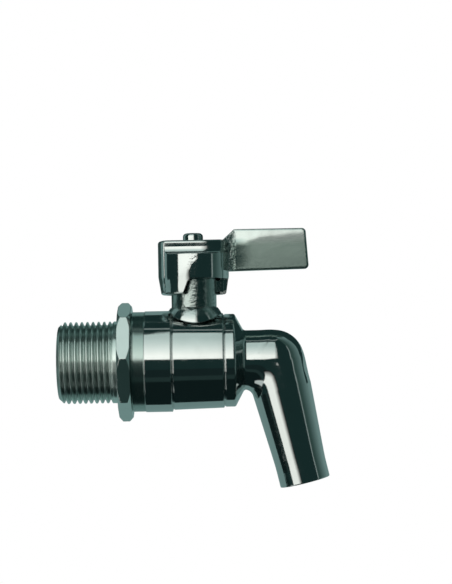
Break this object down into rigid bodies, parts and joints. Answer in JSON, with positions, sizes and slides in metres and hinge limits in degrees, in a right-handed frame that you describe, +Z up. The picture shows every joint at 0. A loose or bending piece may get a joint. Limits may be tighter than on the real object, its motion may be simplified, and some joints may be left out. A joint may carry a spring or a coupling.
{
  "type": "ball valve tap",
  "caption": "Stainless ball-valve pouring tap with a male pipe thread, octagonal wrench flange, quarter-turn lever handle and bent spout.",
  "frame": {"origin": "on the inlet thread's axis at the wrench flange's sealing face", "axes": "+X along the flow from the thread to the spout, +Z up along the stem, -Y towards the viewer of the picture"},
  "size_m": [0.0866, 0.0384, 0.0837],
  "materials": {
    "polished_steel": "mirror-polished cast stainless steel",
    "thread_steel": "turned and polished stainless steel",
    "handle_steel": "polished cast stainless steel, satin blade",
    "ball_steel": "mirror-polished stainless steel",
    "turned_steel": "turned stainless steel",
    "screw_steel": "polished stainless steel",
    "white_seal": "white fluoropolymer seal"
  },
  "bodies": {
    "valve": {"valve_body": "polished_steel", "inlet_end": "thread_steel", "body_gasket": "white_seal", "inlet_seat": "white_seal", "outlet_seat": "white_seal", "thrust_washer": "white_seal", "packing_ring_lower": "white_seal", "packing_ring_upper": "white_seal", "gland_ring": "turned_steel", "gland_nut": "turned_steel"},
    "lever": {"handle": "handle_steel", "handle_screw": "screw_steel", "stem": "turned_steel", "ball": "ball_steel"}
  },
  "joints": [
    {"name": "lever_turn", "type": "hinge", "parent": "valve", "child": "lever", "pos_m": [0.0245, 0, 0.03], "axis": [0, 0, 1], "range_deg": [0, 90]}
  ]
}
